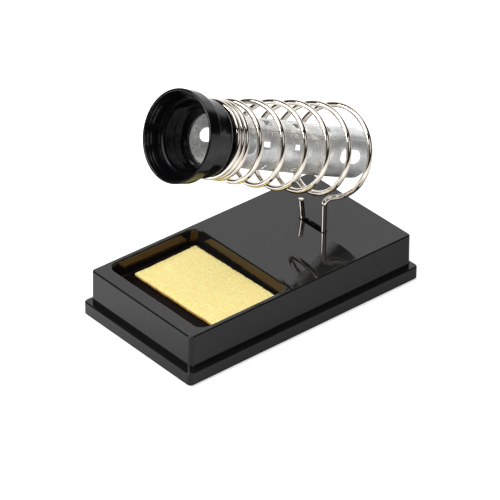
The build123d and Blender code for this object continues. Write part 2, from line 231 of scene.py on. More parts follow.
corners = [(side * floor_half, end * floor_half, 0.0) for side, end in ((-1, -1), (1, -1), (1, 1), (-1, 1))]
floor_mesh = bpy.data.meshes.new("floor")
floor_mesh.from_pydata(corners, [], [(0, 1, 2, 3)])
floor = bpy.data.objects.new("floor", floor_mesh)
bpy.context.collection.objects.link(floor)
floor_paint, floor_shader = new_finish("floor_paint", (paper, paper, paper), 0.9)
floor_shader.inputs["Specular IOR Level"].default_value = 0.0
floor_shader.inputs["Emission Color"].default_value = (1.0, 1.0, 1.0, 1.0)
floor_place = add_node(floor_paint, "TexCoord").outputs["Object"]
floor_ray = add_node(floor_paint, "LightPath").outputs
past_diagonal = along_direction(floor_paint, floor_place, across_diagonal)
lit_edge = [corner_offset + shift for shift in shade_edge]
towards_front = along_direction(floor_paint, floor_place, (0.0, -1.0, 0.0))
in_front_of_base = sum_of(floor_paint, towards_front, 1.0, near_corner.y)
shade = spread(floor_paint, in_front_of_base, *shade_start, 0.0, 1.0, "SMOOTHSTEP")
shade = spread(floor_paint, in_front_of_base, *shade_reach, shade, 0.0, "SMOOTHSTEP")
shade = spread(floor_paint, past_diagonal, *lit_edge, shade, 0.0, "SMOOTHSTEP")
shade = spread(floor_paint, floor_ray["Glossy Depth"], *shaded_bounces, shade, 0.0)
mirrored_paper = choose(floor_paint, shade, bright_paper, shaded_paper)
paper_tone = choose(floor_paint, floor_ray["Is Glossy Ray"], paper, mirrored_paper)
distance = add_node(floor_paint, "VectorMath", {0: floor_place}, operation="LENGTH").outputs["Value"]
lift = spread(floor_paint, distance, *lamps_reach, *floor_camera_light)
behind = along_direction(floor_paint, floor_place, ahead)
risen_paper = spread(floor_paint, behind, *glow_start, 0.0, glow, "SMOOTHSTEP")
mirrored_glow = choose(floor_paint, floor_ray["Is Glossy Ray"], 0.0, risen_paper)
own_light = choose(floor_paint, floor_ray["Is Camera Ray"], mirrored_glow, lift)
feed(floor_paint, floor_shader, Base_Color=paper_tone, Emission_Strength=own_light)
floor_mesh.materials.append(floor_paint)
print("floor:", 2 * floor_half, "m square")

# %% [markdown]
# A bright soft box at the left is the main lamp, and a wider, weaker one stands in front of the long side.
# A third hangs overhead. Each is set by its radiance, how bright its face looks in a mirror next to white
# paper, because on chrome that is what shows. Radiance times pi times its area is the power that it needs.

# %% Lamps
stand_middle = (cad_box[0] + cad_box[1]) / 2


def soft_box(name, azimuth, elevation, distance, size, radiance):
    """Rectangular lamp at two angles and a distance from the stand's middle, facing it."""
    lamp = bpy.data.lights.new(name, "AREA")
    lamp.shape, lamp.size, lamp.size_y = "RECTANGLE", *size
    lamp.energy = radiance * math.pi * size[0] * size[1]
    placed = bpy.data.objects.new(name, lamp)
    bpy.context.collection.objects.link(placed)
    directions = camera_directions(math.radians(azimuth), math.radians(elevation), 0.0)
    placed.matrix_world = placed_at(stand_middle + directions[2] * distance, directions)
    level = size[0] * size[1] * radiance / distance**2 * math.sin(math.radians(elevation)) / math.pi
    print(f"{name}: lights a level white sheet to {level:.2f}")


soft_box("main_lamp", azimuth=-105, elevation=36, distance=1.1, size=(0.85, 0.34), radiance=10.0)
soft_box("side_lamp", azimuth=-5, elevation=34, distance=1.4, size=(1.2, 0.6), radiance=0.7)
soft_box("top_lamp", azimuth=-40, elevation=84, distance=1.2, size=(1.1, 1.1), radiance=1.4)

# %% [markdown]
# ## The holder's own axes
# The coil, the mouth and the guard tube share one sloping axis. Its direction is read from the joint that
# pulls the mouth out, so the pieces made here lie exactly where the solids do. The pieces' lengths are
# written in millimetres, as on a drawing, and turned into metres once.

# %% Holder axes
mm = 0.001
joints = {joint["name"]: joint for joint in frame["joints"]}
mounts = {mount["name"]: mount for mount in frame["record"]["mounts"]}
axis_along = -np.array(joints["mouth_pull"]["axis"])
axis_front = np.array([0.0, -1.0, 0.0])
axis_up = np.cross(axis_front, axis_along)
tube_length, tube_station = 113.685 * mm, 23.8 * mm  # the station is counted from the mouth's rim
bore = mounts["iron_bore"]
tube_along = -np.array(bore["axis"])
tube_start = np.array(bore["pos_m"]) - tube_along * tube_length / 2
mouth_centre = tube_start - axis_along * tube_station
print("axis along the holder:", axis_along.round(4), "mouth's rim centre:", mouth_centre.round(4))

# %% [markdown]
# ## Meshes from arrays
# A new piece here is a formula worked out for all its points at once with numpy. The arrays then go into a
# mesh in one step each, with no loop over points. Edges sharper than a given angle are marked, so that
# smooth shading stops at a real corner.

# %% Mesh helpers


def new_piece(name, points, faces, sharp_degrees=None):
    """A smooth-shaded mesh object at the origin: points as rows of x, y, z in metres, faces of one size."""
    mesh = bpy.data.meshes.new(name)
    count, sides = faces.shape
    mesh.vertices.add(len(points))
    mesh.vertices.foreach_set("co", points.astype(np.float32).ravel())
    mesh.loops.add(count * sides)
    mesh.loops.foreach_set("vertex_index", faces.astype(np.int32).ravel())
    mesh.polygons.add(count)
    mesh.polygons.foreach_set("loop_start", np.arange(count, dtype=np.int32) * sides)
    mesh.update(calc_edges=True)
    mesh.validate()
    mesh.shade_smooth()
    if sharp_degrees is not None:
        mesh.set_sharp_from_angle(angle=math.radians(sharp_degrees))
    piece = bpy.data.objects.new(name, mesh)
    bpy.context.collection.objects.link(piece)
    return piece


def corner_values(piece, name, values):
    """Stores a pair of numbers per vertex as a UV map."""
    layer = piece.data.uv_layers.new(name=name)
    corners_at = np.zeros(len(piece.data.loops), np.int32)
    piece.data.loops.foreach_get("vertex_index", corners_at)
    layer.data.foreach_set("uv", values[corners_at].astype(np.float32).ravel())


def close_poles(piece):
    """Merges points that share a place, which closes seams and turns a pole's quads into triangles."""
    shape = bmesh.new()
    shape.from_mesh(piece.data)
    bmesh.ops.remove_doubles(shape, verts=shape.verts, dist=1e-7)
    shape.to_mesh(piece.data)
    shape.free()


def enclosed(piece):
    """Volume in cubic centimetres that the faces enclose: positive when they all point outwards."""
    shape = bmesh.new()
    shape.from_mesh(piece.data)
    open_edges = sum(not edge.is_manifold for edge in shape.edges)
    volume = shape.calc_volume(signed=True) * 1e6
    shape.free()
    return f"{volume:.3f} cubic cm, {open_edges} open edges"


def unit(rows):
    """Each row divided by its length."""
    return rows / np.linalg.norm(rows, axis=-1, keepdims=True)


def ring_faces(rings, around):
    """Quads between rings of points, wrapping round, facing outwards when rings run along the path."""
    ring, point = np.meshgrid(np.arange(rings - 1), np.arange(around), indexing="ij")
    after = (point + 1) % around
    this, above = ring * around, (ring + 1) * around
    return np.stack([this + point, this + after, above + after, above + point], axis=-1).reshape(-1, 4)


print("two rings of three points make the quads", ring_faces(2, 3).tolist())

# %% [markdown]
# ## Wire holder
# The holder is one nickel-plated spring wire: tight turns that grip the mouth's neck, six open turns that
# swell towards the far end, a leg down into the deck's socket, a foot along its floor and a short free end.
# A spring machine winds it in one go. Here the middle line of its turns is a formula of the turn number. A
# curve object with a bevel would do too, but it gives neither a cut end nor a pattern that follows the wire.

# %% Turns of the wire
wire_radius = 1.55 * mm
close_turns, open_turns = 2.5, 6.0
holder_turns = close_turns + open_turns
close_pitch, open_pitch = 3.3 * mm, 16.57 * mm
first_turn_station = 24.25 * mm
neck_turn_radius, end_coil_radius = 20.13 * mm, 24.78 * mm
swell_power = 1.5
run_out = 1.5 / 12  # turns past the last whole one, before the wire leaves for the leg
points_per_turn = 96


def turn_station(turn):
    """Distance from the rim: an even close pitch, one turn in which it opens, then an even open pitch."""
    opening = np.clip(turn - close_turns, 0, 1)
    opened = np.maximum(turn - close_turns - 1, 0)
    return first_turn_station + close_pitch * turn + (open_pitch - close_pitch) * (opening**2 / 2 + opened)


def wound_line(turn, widen=1.0):
    """Points at the given turns: the axis point, plus the swelling radius turned by one circle a turn."""
    share = np.clip((turn - close_turns) / open_turns, 0, 1)
    radius = neck_turn_radius + (end_coil_radius - neck_turn_radius) * (1 - (1 - share) ** swell_power)
    angle = 2 * np.pi * (turn - holder_turns + 0.25)
    across = np.outer(np.cos(angle), axis_up) + np.outer(np.sin(angle), axis_front)
    return mouth_centre + np.outer(turn_station(turn), axis_along) + across * (radius * widen)[:, None]


last_turn = holder_turns + run_out
turns = np.linspace(0, last_turn, round(last_turn * points_per_turn) + 1)
coil_line = wound_line(turns)
print("coil:", last_turn, "turns,", len(coil_line), "points")

# %% [markdown]
# Past its turns the wire runs straight, and a bending machine rounds each corner. The corners are points, and
# an arc that touches both straight runs takes the place of each. The last corner is wide, because the free
# end leans back a little and comes out of the deck in a slow curve.

# %% Leg, foot and free end
leg_before_coil_end, leg_y, free_y = 16.95 * mm, -9.15 * mm, 8.45 * mm
leg_height, free_height = 21.3 * mm, 12.1 * mm  # of the leg's bend and of the free end's tip above the deck
free_lean = math.radians(9.0)
bend_radii = np.array([7.26, 4.0, 4.0, 4.0, 15.0]) * mm
points_per_bend = 17


def corner_arc(before, corner, after, radius, count):
    """Arc that rounds a corner: centre + radius (forward sin a - inward cos a), a from 0 to the turn."""
    arriving, leaving = unit(corner - before), unit(after - corner)
    turn = math.acos(float(arriving @ leaving))
    inward = unit(leaving - arriving * (arriving @ leaving))
    start = corner - arriving * radius * math.tan(turn / 2)
    angle = np.linspace(0, turn, count)[:, None]
    return start + inward * radius + radius * (arriving * np.sin(angle) - inward * np.cos(angle))


# The wire leaves along a tangent, which is 1 / cos (pi / 12) as far out half a twelfth of a turn later.
tangent_corner = wound_line(np.array([holder_turns + 2 / 12]), 1 / math.cos(math.pi / 12))[0]
deck_z, foot_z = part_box("base_shell")[1].z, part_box("holder_wire")[0].z + wire_radius
coil_end = mouth_centre + axis_along * turn_station(holder_turns)
leg_x = coil_end[0] - leg_before_coil_end
bend_z, free_bend_z = deck_z + leg_height, deck_z + wire_radius
free_rise = free_height - wire_radius
leg_corners = np.array([
    coil_line[-1],
    tangent_corner,
    (leg_x, leg_y, bend_z),
    (leg_x, leg_y, foot_z),
    (leg_x, free_y, foot_z),
    (leg_x, free_y, free_bend_z),
    (leg_x, free_y + free_rise * math.tan(free_lean), free_bend_z + free_rise),
])
leg_arcs = [
    corner_arc(before, corner, after, radius, points_per_bend)
    for before, corner, after, radius in zip(leg_corners, leg_corners[1:], leg_corners[2:], bend_radii)
]
wire_line = np.vstack([coil_line, *leg_arcs, leg_corners[-1:]])
wire_steps = np.linalg.norm(np.diff(wire_line, axis=0), axis=1)
print("wire:", round(float(wire_steps.sum()), 4), "m long,", len(wire_line), "points")

# %% [markdown]
# A circle carried along a line needs a direction to start from at every point, and any free choice makes the
# surface twist. The formula takes the direction away from the coil's axis, measures how much it twists from
# point to point against plain carrying, and turns it back by the running sum.

# %% Carry a circle along the wire
wire_sides = 32
end_radii = np.array([0.0, 0.55, 0.86, 0.985, 1.03, 1.0]) * wire_radius
end_steps = np.array([0.0, 0.02, 0.05, 0.16, 0.4, 0.9]) * mm
cut_slant, cut_reach = 0.28 * mm, 0.5 * mm  # how much the shears' cut leans, and how soon the lean fades
cut_edge_degrees = 50


def untwisted(tangent, guess):
    """Directions square to a line that never twist: a guess turned back by the running sum of its twist."""
    normal = unit(guess - tangent * np.sum(guess * tangent, axis=1, keepdims=True))
    side = np.cross(tangent, normal)
    bisector = tangent[:-1] + tangent[1:]
    lean = 2 * np.sum(normal[:-1] * bisector, axis=1) / np.sum(bisector * bisector, axis=1)
    carried = normal[:-1] - bisector * lean[:, None]
    carried = carried - tangent[1:] * np.sum(carried * tangent[1:], axis=1, keepdims=True)
    twist = np.arctan2(np.sum(carried * side[1:], axis=1), np.sum(carried * normal[1:], axis=1))
    turned = np.concatenate([[0.0], np.cumsum(twist)])[:, None]
    return normal * np.cos(turned) + side * np.sin(turned)


def carried_circle(line, radii, forward, guess, sides):
    """Rings of points: middle + radius (normal cos a + side sin a), each point moved forward by its step."""
    tangent = unit(np.gradient(line, axis=0))
    normal = untwisted(tangent, guess)
    side = np.cross(tangent, normal)
    angle = 2 * np.pi * np.arange(sides) / sides
    across = normal[:, None] * np.cos(angle)[:, None] + side[:, None] * np.sin(angle)[:, None]
    return line[:, None] + across * radii[:, None, None] + tangent[:, None] * forward[:, :, None]


def with_cut_ends(line):
    """The line with the few short steps that shape a sheared end added inside both of its ends."""
    reached = np.concatenate([[0.0], np.cumsum(np.linalg.norm(np.diff(line, axis=0), axis=1))])
    inner = (reached > end_steps[-1]) & (reached < reached[-1] - end_steps[-1])
    places = np.concatenate([end_steps, reached[inner], reached[-1] - end_steps[::-1]])
    dense = np.stack([np.interp(places, reached, line[:, axis]) for axis in range(3)], axis=1)
    radii = np.concatenate([end_radii, np.full(inner.sum(), wire_radius), end_radii[::-1]])
    return dense, radii, places


dense_line, wire_radii, wire_places = with_cut_ends(wire_line)
from_axis = dense_line - mouth_centre
from_axis = from_axis - np.outer(from_axis @ axis_along, axis_along)
ring_angle = 2 * np.pi * np.arange(wire_sides) / wire_sides
near_end = np.exp(-((wire_places[-1] - wire_places) / cut_reach) ** 2)
cut = np.outer(near_end, np.cos(ring_angle)) * cut_slant * (wire_radii / wire_radius)[:, None]
rings = carried_circle(dense_line, wire_radii, cut, from_axis, wire_sides)
wire_faces = ring_faces(len(rings), wire_sides)
wound_wire = new_piece("wound_wire", rings.reshape(-1, 3), wire_faces, cut_edge_degrees)
wire_map = np.stack(np.broadcast_arrays(wire_places[:, None], ring_angle[None, :] * wire_radius), axis=-1)
corner_values(wound_wire, "along_wire", wire_map.reshape(-1, 2))
close_poles(wound_wire)
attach(wound_wire, "holder")
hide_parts("holder_wire")
print("wound_wire:", len(wound_wire.data.polygons), "faces,", enclosed(wound_wire))

# %% [markdown]
# ## Guard tube
# Inside the coil lies a tube rolled from thin tinned sheet, so that a hot tip can't touch fingers. It begins
# as a flat blank with punched windows and two slots at each end, and rolling leaves an open seam. Here too
# the blank is drawn flat: outlines and a grid of points go through a triangulation that keeps the outlines as
# edges. Then every point is rolled up by a formula, once for the outer face and once for the inner one.

# %% Punches in the flat blank
tube_radius, tube_wall = 14.0 * mm, 0.5 * mm
rolled_radius = tube_radius - tube_wall / 2
seam_angle, seam_gap = math.radians(38.0), 0.4 * mm
window_size, window_round = np.array([5.2, 4.24]) * mm, 0.22  # along the tube and round it
slot_size, slot_round, slot_inset = np.array([16.2, 7.9]) * mm, 0.98, 15.4 * mm
slot_sides = (80, 260)  # degrees from the holder's top towards the front
window_rows, first_row_side, windows_per_row, window_stagger = 6, 73, 3, 4.8 * mm
first_gap, last_gap = 7.9 * mm, 6.6 * mm  # from a slot's end to the middle of the window next to it
slot_end = slot_inset + slot_size[0] / 2
last_window = tube_length - slot_end - last_gap - window_stagger
window_starts = np.linspace(slot_end + first_gap, last_window, windows_per_row)
blank_width = 2 * math.pi * rolled_radius - seam_gap


def rounded_slot(size, round_share, per_corner):
    """Outline of a punch: four arcs, each a corner of the straight part plus radius (cos a, sin a)."""
    radius = round_share * size.min() / 2
    quarter = np.linspace(0, math.pi / 2, per_corner)
    angle = np.concatenate([quarter + k * math.pi / 2 for k in range(4)])
    sign_x, sign_y = np.repeat([1, -1, -1, 1], per_corner), np.repeat([1, 1, -1, -1], per_corner)
    straight = size / 2 - radius
    along = sign_x * straight[0] + radius * np.cos(angle)
    around = sign_y * straight[1] + radius * np.sin(angle)
    return np.stack([along, around], 1)


def around_tube(degrees):
    """Distance round the blank from its seam edge, for an angle from the holder's top towards the front."""
    return ((math.radians(degrees) - seam_angle) % (2 * math.pi)) * rolled_radius - seam_gap / 2


window_outline = rounded_slot(window_size, window_round, 4)
slot_outline = rounded_slot(slot_size, slot_round, 10)
windows = [
    np.array([start + (row % 2) * window_stagger, around_tube(first_row_side + 360 // window_rows * row)])
    for row in range(window_rows) for start in window_starts
]
slots = [
    np.array([place, around_tube(side)])
    for place in (slot_inset, tube_length - slot_inset) for side in slot_sides
]
holes = [centre + window_outline for centre in windows] + [centre + slot_outline for centre in slots]
print("punches:", len(windows), "windows and", len(slots), "slots")

# %% [markdown]
# The triangulation needs points all over the sheet, or its triangles would be long and flat and couldn't
# bend round the tube. They come from a plain grid, which keeps a little off the punches.

# %% Triangulate the blank
points_along, points_round = 91, 77
punch_margin = 0.45 * mm  # the grid keeps this far off the punches, whose outlines bring points of their own
edge_along, edge_round = np.linspace(0, tube_length, points_along), np.linspace(0, blank_width, points_round)
border = np.vstack([
    np.stack([edge_along, np.zeros(points_along)], 1),
    np.stack([np.full(points_round - 2, tube_length), edge_round[1:-1]], 1),
    np.stack([edge_along[::-1], np.full(points_along, blank_width)], 1),
    np.stack([np.zeros(points_round - 2), edge_round[-2:0:-1]], 1),
])
grid_points = np.stack(np.meshgrid(edge_along[1:-1], edge_round[1:-1], indexing="ij"), -1).reshape(-1, 2)
punches = [(centre, window_size, window_round) for centre in windows]
punches += [(centre, slot_size, slot_round) for centre in slots]


def distance_to_holes(points):
    """Distance from each point to the edge of the nearest punch, taken as a box with round corners."""
    found = np.full(len(points), tube_length)
    for centre, size, round_share in punches:
        radius = round_share * size.min() / 2
        beyond = np.abs(points - centre) - (size / 2 - radius)
        outside = np.linalg.norm(np.maximum(beyond, 0), axis=1) + np.minimum(beyond.max(axis=1), 0) - radius
        found = np.minimum(found, outside)
    return found


grid_points = grid_points[distance_to_holes(grid_points) > punch_margin]
flat_points = np.vstack([border, *holes, grid_points])
loop_sizes = [len(border)] + [len(hole) for hole in holes]
loop_starts = np.cumsum([0] + loop_sizes[:-1])
outlines = np.vstack([
    start + np.stack([np.arange(size), (np.arange(size) + 1) % size], 1)
    for start, size in zip(loop_starts, loop_sizes)
])
drawn = geometry.delaunay_2d_cdt([Vector(p) for p in flat_points.tolist()], outlines.tolist(), [], 0, 1e-9)
blank = np.array([tuple(p) for p in drawn[0]])
triangles = np.array(drawn[2])
middles = blank[triangles].mean(axis=1)
triangles = triangles[distance_to_holes(middles) > -0.02 * mm]  # a sliver on a rounded corner counts as sheet
print("blank:", len(blank), "points,", len(triangles), "triangles")

# %% Roll the blank
tube_up = np.cross(axis_front, tube_along)
first_corner, second_corner, third_corner = (blank[triangles[:, corner]] for corner in range(3))
edge_a, edge_b = second_corner - first_corner, third_corner - first_corner
flipped = edge_a[:, 0] * edge_b[:, 1] - edge_a[:, 1] * edge_b[:, 0] > 0
triangles[flipped] = triangles[flipped][:, ::-1]


def sheet_waviness(points):
    """Metres by which rolling leaves the sheet off a true cylinder: slow waves, and a dip at each punch."""
    along, around = points[:, 0] / tube_length, points[:, 1] / blank_width * 2 * np.pi
    waves = 0.10 * np.sin(3 * around + 4.1 * along + 0.6) * np.sin(5.3 * along + 1.1)
    waves += 0.05 * np.sin(7 * around - 9.0 * along) + 0.04 * np.sin(11 * around + 17.0 * along + 2.0)
    dips = -0.22 * np.exp(-np.maximum(distance_to_holes(points), 0) / (0.9 * mm))
    past_mouth = np.clip((points[:, 0] - 9 * mm) / (10 * mm), 0, 1)  # it lies true where the mouth holds it
    return (waves + dips) * mm * past_mouth


def rolled(points, radius):
    """The blank rolled up: start + along u + (r + waviness) (up cos a + front sin a), a = seam + v / r."""
    angle = seam_angle + (points[:, 1] + seam_gap / 2) / rolled_radius
    across = np.outer(np.cos(angle), tube_up) + np.outer(np.sin(angle), axis_front)
    reach = (radius + sheet_waviness(points))[:, None]
    return tube_start + np.outer(points[:, 0], tube_along) + across * reach


sheet_points = np.vstack([rolled(blank, tube_radius), rolled(blank, tube_radius - tube_wall)])
half_edges = np.vstack([triangles[:, [0, 1]], triangles[:, [1, 2]], triangles[:, [2, 0]]])
sorted_edges = np.sort(half_edges, axis=1)
first_use, uses = np.unique(sorted_edges, axis=0, return_index=True, return_counts=True)[1:]
rim = half_edges[first_use[uses == 1]]
inner = len(blank)
sheet_faces = np.vstack([
    triangles, triangles[:, ::-1] + inner,
    np.stack([rim[:, 0], rim[:, 0] + inner, rim[:, 1] + inner], 1),
    np.stack([rim[:, 0], rim[:, 1] + inner, rim[:, 1]], 1),
])
rolled_tube = new_piece("rolled_tube", sheet_points, sheet_faces, sharp_degrees=40)
corner_values(rolled_tube, "flat_blank", np.vstack([blank, blank]))
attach(rolled_tube, "mouth")
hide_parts("guard_tube")
print("rolled_tube:", len(rolled_tube.data.polygons), "faces,", enclosed(rolled_tube))

# %% [markdown]
# ## Sponge
# A dry cellulose sponge is cut from a pressed slab: flat faces, crisp but ragged cut edges, and pores from a
# tenth of a millimetre to about one. The slab is a grid of heights over a grid of places. The pores come
# from smooth random fields added at several sizes: where their sum is high, a pore is dug.

# %% Random fields and pores
cells_x, cells_y = 130, 206
dice = np.random.default_rng(7)


def smooth_field(rows, columns, lump):
    """Random numbers on a coarse grid, carried to the fine one by a smooth blend of the four nearest."""
    coarse = dice.normal(size=(int(rows / lump) + 3, int(columns / lump) + 3))
    at_row, at_column = np.arange(rows) / lump, np.arange(columns) / lump
    row, column = at_row.astype(int), at_column.astype(int)
    ease_row, ease_column = at_row - row, at_column - column
    ease_row = (ease_row**2 * (3 - 2 * ease_row))[:, None]
    ease_column = (ease_column**2 * (3 - 2 * ease_column))[None, :]
    upper = coarse[row][:, column] * (1 - ease_column) + coarse[row][:, column + 1] * ease_column
    lower = coarse[row + 1][:, column] * (1 - ease_column) + coarse[row + 1][:, column + 1] * ease_column
    return upper * (1 - ease_row) + lower * ease_row


def pored_heights(rows, columns):
    """Metres from the face, negative: shallow lumps from random fields, and pores where their sum is high."""
    coarse, middling, fine = (smooth_field(rows, columns, lump) for lump in (5.2, 2.7, 1.35))
    pores = np.clip(0.55 * middling + 0.6 * fine + 0.35 * coarse - 0.62, 0, 1.2)
    return -(0.05 * np.abs(coarse) + 0.03 * np.abs(fine) + 0.20 * pores) * mm


print("grid of the slab:", cells_x, "by", cells_y, "points")

# %% [markdown]
# The slab's outline is drawn in a little and then made ragged, because a blade drags at the pores. Its edges
# are worn down, and one corner curls up, as a sponge does when it dries.

# %% Slab with pores
sponge_low, sponge_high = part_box("sponge")
sponge_middle = (np.array(sponge_low) + np.array(sponge_high)) / 2
sponge_length, sponge_width, sponge_thickness = 43.4 * mm, 69.7 * mm, 2.5 * mm
ragged_room = 0.2 * mm  # how far inside its measure the outline lies, for what the ragged edge adds
ragged, ragged_lumps = 0.10 * mm, (3.0, 12.0)  # depth of the ragged edge, and its lumps in cells
edge_wear, curl_height = 0.12 * mm, 0.30 * mm


def drawn_together(count, bend, even=0.75):
    """Places from -1 to 1, closer near the ends: even s + (1 - even) sin (bend s) / sin bend."""
    spaced = np.linspace(-1, 1, count)
    return np.sin(spaced * bend) / math.sin(bend) * (1 - even) + spaced * even


def ragged_field():
    """Two random fields over the slab, one fine and one coarse, as metres to and fro."""
    return sum(smooth_field(cells_x, cells_y, lump) * ragged for lump in ragged_lumps)


place_x, place_y = np.meshgrid(drawn_together(cells_x, 1.35), drawn_together(cells_y, 1.45), indexing="ij")
ragged_x, ragged_y = ragged_field(), ragged_field()
# High powers keep the ragged outline and the wear close to the border.
slab_x = place_x * (sponge_length / 2 - ragged_room) + ragged_x * np.abs(place_x) ** 24
slab_y = place_y * (sponge_width / 2 - ragged_room) + ragged_y * np.abs(place_y) ** 24
curl = np.clip((-place_x + place_y - 1.35) / 0.65, 0, 1) ** 2 * curl_height  # one corner lifts a little
smooth_field(cells_x, cells_y, 60.0)  # keeps the draws after it as they are
edge_drop = edge_wear * (np.abs(place_x) ** 40 + np.abs(place_y) ** 60)
top_z = sponge_thickness / 2 - 0.02 * mm + pored_heights(cells_x, cells_y) - edge_drop + curl
bottom_z = -sponge_thickness / 2 - pored_heights(cells_x, cells_y) + edge_drop + curl * 0.9
top_face = np.stack([slab_x, slab_y, top_z], -1).reshape(-1, 3)
bottom_face = np.stack([slab_x, slab_y, bottom_z], -1).reshape(-1, 3)
print("slab: from", round(bottom_z.min() / mm, 2), "to", round(top_z.max() / mm, 2), "mm about its middle")

# %% [markdown]
# Cut sides join the two faces. Rows of points run once round the border, from the top face to the bottom
# one, and swell a little in between. A turn of a degree or so lays the slab askew in its tray.

# %% Close the slab with its cut sides
side_rows = 7
side_swell, side_relief = 0.12 * mm, 0.09 * mm
sponge_turn = math.radians(1.3)
number = np.arange(cells_x * cells_y).reshape(cells_x, cells_y)
border_points = np.concatenate([number[:-1, 0], number[-1, :-1], number[:0:-1, -1], number[0, :0:-1]])
border_flat = top_face[border_points][:, :2]
border_places = np.stack([place_x, place_y], -1).reshape(-1, 2)[border_points]
outwards = unit(np.sign(border_flat) * (np.abs(border_places) > 0.999))
share = (np.arange(1, side_rows + 1) / (side_rows + 1))[:, None]
swell = np.sin(math.pi * share) ** 0.5 * side_swell
side_noise = smooth_field(side_rows, len(border_points), 2.0) * side_relief * np.sin(math.pi * share)
side_z = top_face[border_points][:, 2] * (1 - share) + bottom_face[border_points][:, 2] * share
side_xy = border_flat[None] + outwards[None] * (swell + side_noise)[:, :, None]
side_points = np.concatenate([side_xy, side_z[:, :, None]], -1).reshape(-1, 3)
slab_points = np.vstack([top_face, bottom_face, side_points])
top_quads = np.stack([number[:-1, :-1], number[1:, :-1], number[1:, 1:], number[:-1, 1:]], -1).reshape(-1, 4)
loops = np.vstack([
    border_points[None],
    2 * number.size + np.arange(side_rows * len(border_points)).reshape(side_rows, -1),
    number.size + border_points[None],
])
after = np.roll(loops, -1, axis=1)
side_quads = np.stack([loops[:-1], loops[1:], after[1:], after[:-1]], -1).reshape(-1, 4)
cosine, sine = math.cos(sponge_turn), math.sin(sponge_turn)
slab_points[:, :2] = slab_points[:, :2] @ np.array([[cosine, sine], [-sine, cosine]])
slab_faces = np.vstack([top_quads, top_quads[:, ::-1] + number.size, side_quads])
sponge_slab = new_piece("sponge_slab", slab_points + sponge_middle, slab_faces)
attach(sponge_slab, "loose_sponge")
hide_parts("sponge")
print("sponge_slab:", len(sponge_slab.data.polygons), "faces,", enclosed(sponge_slab))

# %% [markdown]
# ## Finishes
# Each finish is built for one kind of piece. Its patterns read Object coordinates, which here are metres in
# the stand's frame, or a piece's own map. The solids kept from the CAD model take their finish through their
# material slots, and the new pieces get one appended.

# %% Patterns, relief and dressing


def surface_place(finish):
    """Object coordinates: metres in the stand's own frame."""
    return add_node(finish, "TexCoord").outputs["Object"]


def noise(finish, place, scale, detail=4.0, roughness=0.5):
    """Fractal noise from 0 to 1 about a middle of 0.5, with its coarsest lumps 1 / scale metres wide."""
    sockets = {"Vector": place, "Scale": scale, "Detail": detail, "Roughness": roughness}
    return add_node(finish, "TexNoise", sockets).outputs["Fac"]


def stretched(finish, place, factors):
    """A place scaled along each axis, which draws a pattern out along the axis with the least scale."""
    return add_node(finish, "Mapping", {"Vector": place, "Scale": factors}).outputs["Vector"]


def blend_colours(finish, share, first, second):
    """The first colour where the share is 0 and the second where it is 1."""
    mix = add_node(finish, "Mix", {"Factor": share}, data_type="RGBA")
    for socket, colour in zip((mix.inputs[6], mix.inputs[7]), (first, second)):
        if isinstance(colour, bpy.types.NodeSocket):
            finish.node_tree.links.new(colour, socket)
        else:
            socket.default_value = (*colour, 1.0)
    return mix.outputs[2]


def raise_relief(finish, shader, height, depth, strength=1.0, under=None):
    """Feeds a height, 0 to 1 over a depth in metres, to the shader as bumps, on top of finer ones."""
    sockets = {"Height": height, "Distance": depth, "Strength": strength}
    if under is not None:
        sockets["Normal"] = under
    bump = add_node(finish, "Bump", sockets).outputs["Normal"]
    finish.node_tree.links.new(bump, shader.inputs["Normal"])
    return bump


def dress(finish, *names):
    """Gives a finish to pieces or to solids of the CAD model, by name."""
    for name in names:
        piece = frame["nodes"].get(name) or bpy.data.objects[name]
        if piece.material_slots:
            for slot in piece.material_slots:
                slot.material = finish
        else:
            piece.data.materials.append(finish)
    print(finish.name, "on", ", ".join(names))


print("solids of the frame:", ", ".join(sorted(frame["nodes"])))

# %% [markdown]
# ### Glossy base plastic
# The base is injection-moulded in black polystyrene from a polished mould, so it mirrors the room. Almost
# all of its look is in the reflection: the body colour is nearly black. What keeps it from looking like
# glass is a very slight waviness, a few dust specks and a thin haze. The tray's floor is rougher, so it shows
# no mirror image, and its colour and its reflection are made darker. On the tray's walls a painted tint
# turns what they mirror a deeper orange than the sponge's top shows: a painted reflection. A box round the
# tray, with its heights taken from the sponge and the deck, tells the shader where the floor and the tint are.

# %% Base plastic
base_gloss, shader = new_finish("base_gloss", (0.0075, 0.0075, 0.008), 0.07)
shader.inputs["IOR"].default_value = 1.5
place = surface_place(base_gloss)
haze = noise(base_gloss, place, 60.0, 5.0, 0.6)
specks = noise(base_gloss, place, 900.0, 1.0, 0.4)
dusty = spread(base_gloss, specks, 0.80, 0.86, 0.0, 1.0)
smear = spread(base_gloss, haze, 0.35, 0.70, 0.03, 0.06)
body = blend_colours(base_gloss, haze, (0.0065, 0.0065, 0.007), (0.0095, 0.0095, 0.0095))
body = blend_colours(base_gloss, dusty, body, (0.12, 0.115, 0.105))
tray_floor_top, tray_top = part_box("sponge")[0].z + 1.0 * mm, deck_z - 0.6 * mm
tray_middle_x, tray_half_length, tray_half_width = -38.6 * mm, 31.0 * mm, 39.3 * mm
axes = add_node(base_gloss, "SeparateXYZ", {"Vector": place}).outputs
from_middle = worked(base_gloss, "SUBTRACT", axes["X"], tray_middle_x)
in_length = worked(base_gloss, "LESS_THAN", worked(base_gloss, "ABSOLUTE", from_middle), tray_half_length)
in_width = worked(base_gloss, "LESS_THAN", worked(base_gloss, "ABSOLUTE", axes["Y"]), tray_half_width)
on_floor = spread(base_gloss, axes["Z"], tray_floor_top - 1.0 * mm, tray_floor_top, 1.0, 0.0)
in_plan = worked(base_gloss, "MULTIPLY", in_length, in_width)
rough_dark_tray_floor = worked(base_gloss, "MULTIPLY", in_plan, on_floor)
below_deck = spread(base_gloss, axes["Z"], tray_top - 1.0 * mm, tray_top, 1.0, 0.0)
